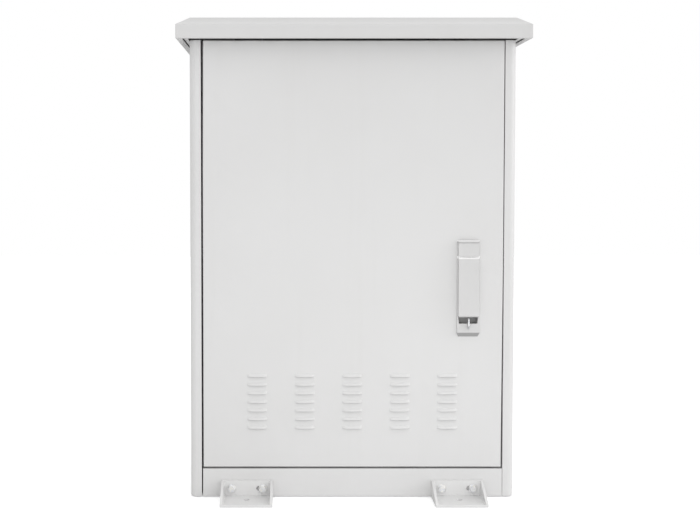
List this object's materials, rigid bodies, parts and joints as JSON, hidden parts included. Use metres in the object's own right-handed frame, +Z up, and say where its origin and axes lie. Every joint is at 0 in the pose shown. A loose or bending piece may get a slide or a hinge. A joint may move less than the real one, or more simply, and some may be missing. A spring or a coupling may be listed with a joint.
{
  "type": "outdoor battery cabinet",
  "caption": "Floor-standing outdoor battery box: canopy roof, louvred hinged door with swing handle and locking rods, plinth and floor brackets.",
  "frame": {"origin": "under the middle of the cabinet, on the surface that its floor brackets stand on", "axes": "+X to the right seen from the front, +Y from the door into the cabinet, +Z up"},
  "size_m": [0.698, 0.4106, 0.9585],
  "materials": {
    "powder_coat": "light grey fine-texture powder coat, satin",
    "roof_coat": "light grey fine-texture powder coat, satin",
    "handle_coat": "light grey lacquered die casting, satin",
    "bracket_coat": "light grey powder coat on bent plate",
    "zinc_steel": "bright zinc plating",
    "gasket_rubber": "foamed rubber seal",
    "filter_mat": "coarse non-woven filter mat",
    "earth_bar_metal": "bare copper, lightly tarnished",
    "black_plastic": "moulded polyamide"
  },
  "bodies": {
    "cabinet": {"base_panel": "zinc_steel", "battery_shelf_lower": "zinc_steel", "battery_shelf_upper": "zinc_steel", "bracket_bolt_front_left_a": "zinc_steel", "bracket_bolt_front_left_b": "zinc_steel", "bracket_bolt_front_right_a": "zinc_steel", "bracket_bolt_front_right_b": "zinc_steel", "bracket_bolt_rear_left_a": "zinc_steel", "bracket_bolt_rear_left_b": "zinc_steel", "bracket_bolt_rear_right_a": "zinc_steel", "bracket_bolt_rear_right_b": "zinc_steel", "cable_gland_left": "black_plastic", "cable_gland_right": "black_plastic", "door_frame": "powder_coat", "earth_bar": "earth_bar_metal", "floor_bracket_front_left": "bracket_coat", "floor_bracket_front_right": "bracket_coat", "floor_bracket_rear_left": "bracket_coat", "floor_bracket_rear_right": "bracket_coat", "gland_plate": "zinc_steel", "hinge_frame_leaf_lower": "zinc_steel", "hinge_frame_leaf_upper": "zinc_steel", "hinge_pin_lower": "zinc_steel", "hinge_pin_upper": "zinc_steel", "plinth_panel": "powder_coat", "post_front_left": "powder_coat", "post_front_right": "powder_coat", "post_rear_left": "powder_coat", "post_rear_right": "powder_coat", "rear_panel": "powder_coat", "roof_canopy": "roof_coat", "roof_rail_left": "zinc_steel", "roof_rail_right": "zinc_steel", "roof_soffit": "roof_coat", "shelf_runner_lower_left": "zinc_steel", "shelf_runner_lower_right": "zinc_steel", "shelf_runner_upper_left": "zinc_steel", "shelf_runner_upper_right": "zinc_steel", "side_panel_left": "powder_coat", "side_panel_right": "powder_coat", "top_panel": "powder_coat"},
    "door": {"door_panel": "powder_coat", "door_gasket": "gasket_rubber", "air_filter": "filter_mat", "filter_frame": "zinc_steel", "door_stiffener_lower": "zinc_steel", "door_stiffener_upper": "zinc_steel", "hinge_door_leaf_lower": "zinc_steel", "hinge_door_leaf_upper": "zinc_steel", "handle_dish": "handle_coat", "padlock_staple": "zinc_steel", "rod_guide_upper": "black_plastic", "rod_guide_lower": "black_plastic"},
    "swing_handle": {"handle_head": "handle_coat", "lever_pin": "zinc_steel", "lock_cam": "zinc_steel"},
    "lever": {"handle_lever": "handle_coat"},
    "top_rod": {"upper_rod": "zinc_steel"},
    "bottom_rod": {"lower_rod": "zinc_steel"}
  },
  "joints": [
    {"name": "door_swing", "type": "hinge", "parent": "cabinet", "child": "door", "pos_m": [-0.284, -0.125, 0.485], "axis": [0, 0, -1], "range_deg": [0, 110]},
    {"name": "handle_swing", "type": "hinge", "parent": "door", "child": "swing_handle", "pos_m": [0.231, -0.15, 0.5], "axis": [0, 1, 0], "range_deg": [0, 90]},
    {"name": "handle_lift", "type": "hinge", "parent": "swing_handle", "child": "lever", "pos_m": [0.231, -0.1416, 0.478], "axis": [-1, 0, 0], "range_deg": [0, 20]},
    {"name": "upper_rod_slide", "type": "slide", "parent": "door", "child": "top_rod", "axis": [0, 0, -1], "range_m": [0, 0.0283]},
    {"name": "lower_rod_slide", "type": "slide", "parent": "door", "child": "bottom_rod", "axis": [0, 0, 1], "range_m": [0, 0.0283]}
  ],
  "couplings": [
    {"joint": "upper_rod_slide", "follows": "handle_swing", "m_per_rad": 0.018},
    {"joint": "lower_rod_slide", "follows": "handle_swing", "m_per_rad": 0.018}
  ]
}
